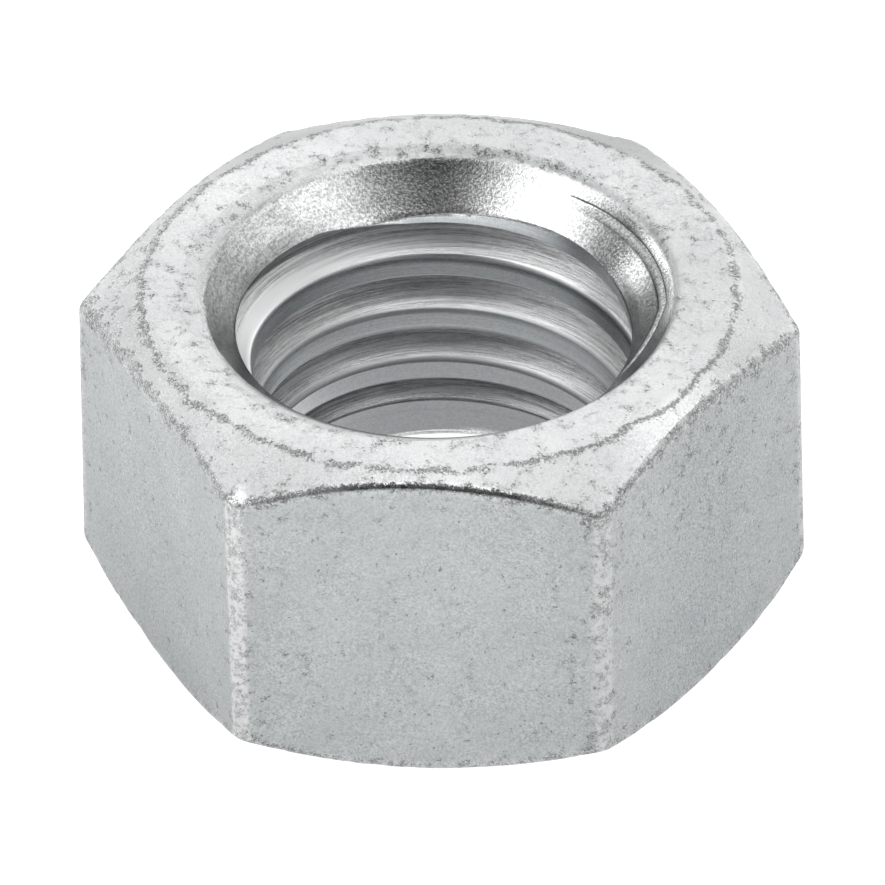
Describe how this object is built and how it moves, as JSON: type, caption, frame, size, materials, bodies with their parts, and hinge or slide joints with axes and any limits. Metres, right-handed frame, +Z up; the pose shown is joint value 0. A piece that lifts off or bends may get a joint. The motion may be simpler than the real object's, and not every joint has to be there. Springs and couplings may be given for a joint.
{
  "type": "hex nut",
  "caption": "Hexagonal nut, both faces chamfered at the corners and countersunk at the bore, with a right-hand coarse thread right through.",
  "frame": {"origin": "on the thread axis, at the lower face the nut rests on", "axes": "+Z up along the thread axis, +X through a corner of the hexagon, +Y square to a flat"},
  "size_m": [0.0218, 0.019, 0.0111],
  "materials": {
    "zinc_plated_steel": "satin, zinc plated"
  },
  "bodies": {
    "root": {"hex_nut": "zinc_plated_steel"}
  },
  "joints": []
}
